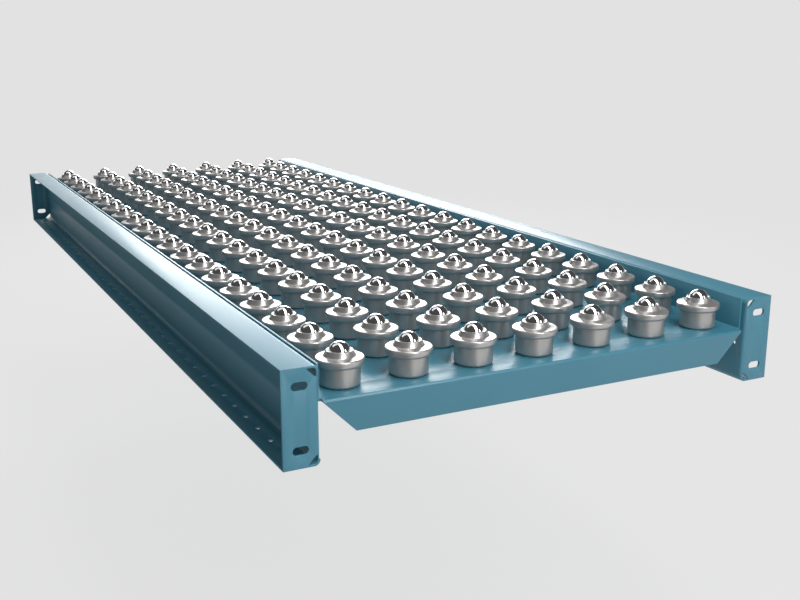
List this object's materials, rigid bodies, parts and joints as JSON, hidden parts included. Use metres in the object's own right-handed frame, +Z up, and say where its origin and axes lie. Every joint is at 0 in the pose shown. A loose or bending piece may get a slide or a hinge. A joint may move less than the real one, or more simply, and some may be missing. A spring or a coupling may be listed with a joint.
{
  "type": "ball transfer conveyor",
  "caption": "Low table section with folded side channels and a deck full of ball transfer units, for turning and shifting flat-bottomed loads by hand.",
  "frame": {"origin": "middle of the footprint, on the plane of the channels' lower faces", "axes": "+X across the deck, +Y along it, away from the front apron, +Z up"},
  "size_m": [0.8, 2, 0.142],
  "materials": {
    "powder_coat": "semi-gloss petrol blue powder coat",
    "satin_steel": "satin drawn steel",
    "polished_cap": "bright plated pressing",
    "hardened_steel": "ground hardened steel",
    "chrome_steel": "polished bearing steel",
    "wiper_felt": "dense grey felt",
    "zinc_plate": "zinc plated"
  },
  "bodies": {
    "frame": {"left_side_channel": "powder_coat", "right_side_channel": "powder_coat", "deck_plate": "powder_coat", "left_upstand": "powder_coat", "right_upstand": "powder_coat", "front_apron": "powder_coat", "rear_apron": "powder_coat", "front_cross_member": "powder_coat", "middle_cross_member": "powder_coat", "rear_cross_member": "powder_coat", "unit_bodies": "satin_steel", "unit_caps": "polished_cap", "ball_races": "hardened_steel", "support_ball_beds": "chrome_steel", "wiper_rings": "wiper_felt", "fixing_studs": "zinc_plate", "stud_washers": "zinc_plate", "stud_nuts": "zinc_plate"},
    "row_01": {"balls_row_01": "chrome_steel"},
    "row_02": {"balls_row_02": "chrome_steel"},
    "row_03": {"balls_row_03": "chrome_steel"},
    "row_04": {"balls_row_04": "chrome_steel"},
    "row_05": {"balls_row_05": "chrome_steel"},
    "row_06": {"balls_row_06": "chrome_steel"},
    "row_07": {"balls_row_07": "chrome_steel"},
    "row_08": {"balls_row_08": "chrome_steel"},
    "row_09": {"balls_row_09": "chrome_steel"},
    "row_10": {"balls_row_10": "chrome_steel"},
    "row_11": {"balls_row_11": "chrome_steel"},
    "row_12": {"balls_row_12": "chrome_steel"},
    "row_13": {"balls_row_13": "chrome_steel"},
    "row_14": {"balls_row_14": "chrome_steel"},
    "row_15": {"balls_row_15": "chrome_steel"},
    "row_16": {"balls_row_16": "chrome_steel"},
    "row_17": {"balls_row_17": "chrome_steel"},
    "row_18": {"balls_row_18": "chrome_steel"},
    "row_19": {"balls_row_19": "chrome_steel"},
    "row_20": {"balls_row_20": "chrome_steel"}
  },
  "joints": [
    {"name": "row_01_roll", "type": "hinge", "parent": "frame", "child": "row_01", "pos_m": [0, -0.95, 0.127], "axis": [-1, 0, 0], "continuous": true},
    {"name": "row_02_roll", "type": "hinge", "parent": "frame", "child": "row_02", "pos_m": [0, -0.85, 0.127], "axis": [-1, 0, 0], "continuous": true},
    {"name": "row_03_roll", "type": "hinge", "parent": "frame", "child": "row_03", "pos_m": [0, -0.75, 0.127], "axis": [-1, 0, 0], "continuous": true},
    {"name": "row_04_roll", "type": "hinge", "parent": "frame", "child": "row_04", "pos_m": [0, -0.65, 0.127], "axis": [-1, 0, 0], "continuous": true},
    {"name": "row_05_roll", "type": "hinge", "parent": "frame", "child": "row_05", "pos_m": [0, -0.55, 0.127], "axis": [-1, 0, 0], "continuous": true},
    {"name": "row_06_roll", "type": "hinge", "parent": "frame", "child": "row_06", "pos_m": [0, -0.45, 0.127], "axis": [-1, 0, 0], "continuous": true},
    {"name": "row_07_roll", "type": "hinge", "parent": "frame", "child": "row_07", "pos_m": [0, -0.35, 0.127], "axis": [-1, 0, 0], "continuous": true},
    {"name": "row_08_roll", "type": "hinge", "parent": "frame", "child": "row_08", "pos_m": [0, -0.25, 0.127], "axis": [-1, 0, 0], "continuous": true},
    {"name": "row_09_roll", "type": "hinge", "parent": "frame", "child": "row_09", "pos_m": [0, -0.15, 0.127], "axis": [-1, 0, 0], "continuous": true},
    {"name": "row_10_roll", "type": "hinge", "parent": "frame", "child": "row_10", "pos_m": [0, -0.05, 0.127], "axis": [-1, 0, 0], "continuous": true},
    {"name": "row_11_roll", "type": "hinge", "parent": "frame", "child": "row_11", "pos_m": [0, 0.05, 0.127], "axis": [-1, 0, 0], "continuous": true},
    {"name": "row_12_roll", "type": "hinge", "parent": "frame", "child": "row_12", "pos_m": [0, 0.15, 0.127], "axis": [-1, 0, 0], "continuous": true},
    {"name": "row_13_roll", "type": "hinge", "parent": "frame", "child": "row_13", "pos_m": [0, 0.25, 0.127], "axis": [-1, 0, 0], "continuous": true},
    {"name": "row_14_roll", "type": "hinge", "parent": "frame", "child": "row_14", "pos_m": [0, 0.35, 0.127], "axis": [-1, 0, 0], "continuous": true},
    {"name": "row_15_roll", "type": "hinge", "parent": "frame", "child": "row_15", "pos_m": [0, 0.45, 0.127], "axis": [-1, 0, 0], "continuous": true},
    {"name": "row_16_roll", "type": "hinge", "parent": "frame", "child": "row_16", "pos_m": [0, 0.55, 0.127], "axis": [-1, 0, 0], "continuous": true},
    {"name": "row_17_roll", "type": "hinge", "parent": "frame", "child": "row_17", "pos_m": [0, 0.65, 0.127], "axis": [-1, 0, 0], "continuous": true},
    {"name": "row_18_roll", "type": "hinge", "parent": "frame", "child": "row_18", "pos_m": [0, 0.75, 0.127], "axis": [-1, 0, 0], "continuous": true},
    {"name": "row_19_roll", "type": "hinge", "parent": "frame", "child": "row_19", "pos_m": [0, 0.85, 0.127], "axis": [-1, 0, 0], "continuous": true},
    {"name": "row_20_roll", "type": "hinge", "parent": "frame", "child": "row_20", "pos_m": [0, 0.95, 0.127], "axis": [-1, 0, 0], "continuous": true}
  ]
}
